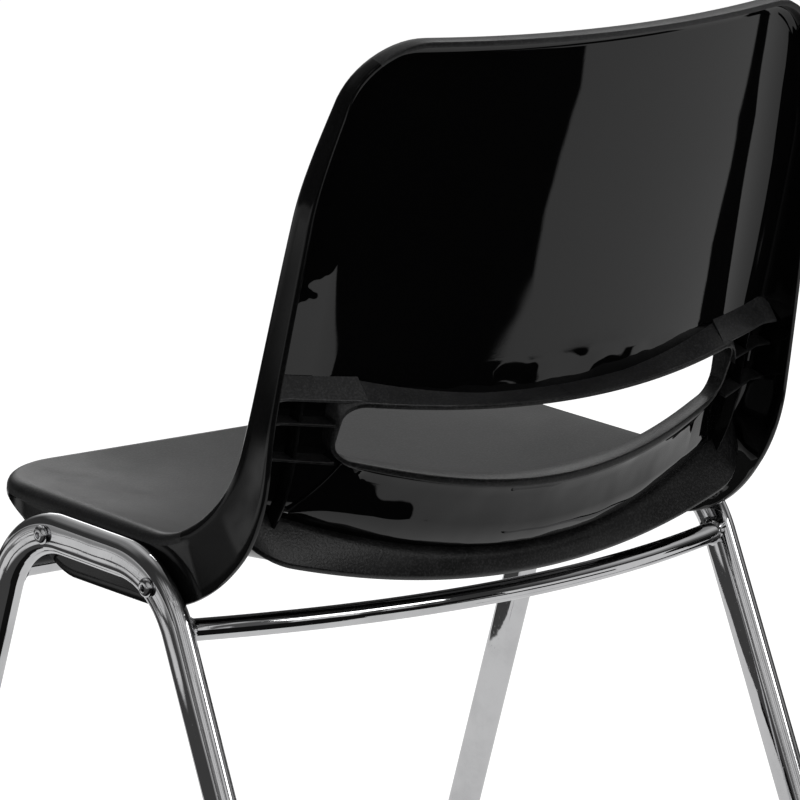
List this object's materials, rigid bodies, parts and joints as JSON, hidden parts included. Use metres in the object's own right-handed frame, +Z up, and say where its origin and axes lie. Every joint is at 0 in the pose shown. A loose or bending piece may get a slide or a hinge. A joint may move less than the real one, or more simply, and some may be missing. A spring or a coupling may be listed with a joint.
{
  "type": "kids stacking chair",
  "caption": "Small stacking chair: dished black plastic shell with a hand slot through the back, on a chromed flat-oval-tube frame with splayed legs and cross bars.",
  "frame": {"origin": "on the floor under the middle of the chair's box", "axes": "+Z up, the sitter faces -Y, +X is the sitter's left"},
  "size_m": [0.419, 0.4364, 0.6391],
  "materials": {
    "shell_plastic": "glossy behind, fine satin texture on the sitting face",
    "chrome_tube": "bright chrome plate",
    "screw_chrome": "bright plate",
    "nut_zinc": "zinc plate",
    "glide_plastic": "matt"
  },
  "bodies": {
    "root": {"shell": "shell_plastic", "side_frame_left": "chrome_tube", "side_frame_right": "chrome_tube", "front_cross_bar": "chrome_tube", "rear_cross_bar": "chrome_tube", "seat_screw_front_left": "screw_chrome", "flange_nut_front_left": "nut_zinc", "foot_glide_front_left": "glide_plastic", "seat_screw_front_right": "screw_chrome", "flange_nut_front_right": "nut_zinc", "foot_glide_front_right": "glide_plastic", "seat_screw_rear_left": "screw_chrome", "flange_nut_rear_left": "nut_zinc", "foot_glide_rear_left": "glide_plastic", "seat_screw_rear_right": "screw_chrome", "flange_nut_rear_right": "nut_zinc", "foot_glide_rear_right": "glide_plastic"}
  },
  "joints": []
}
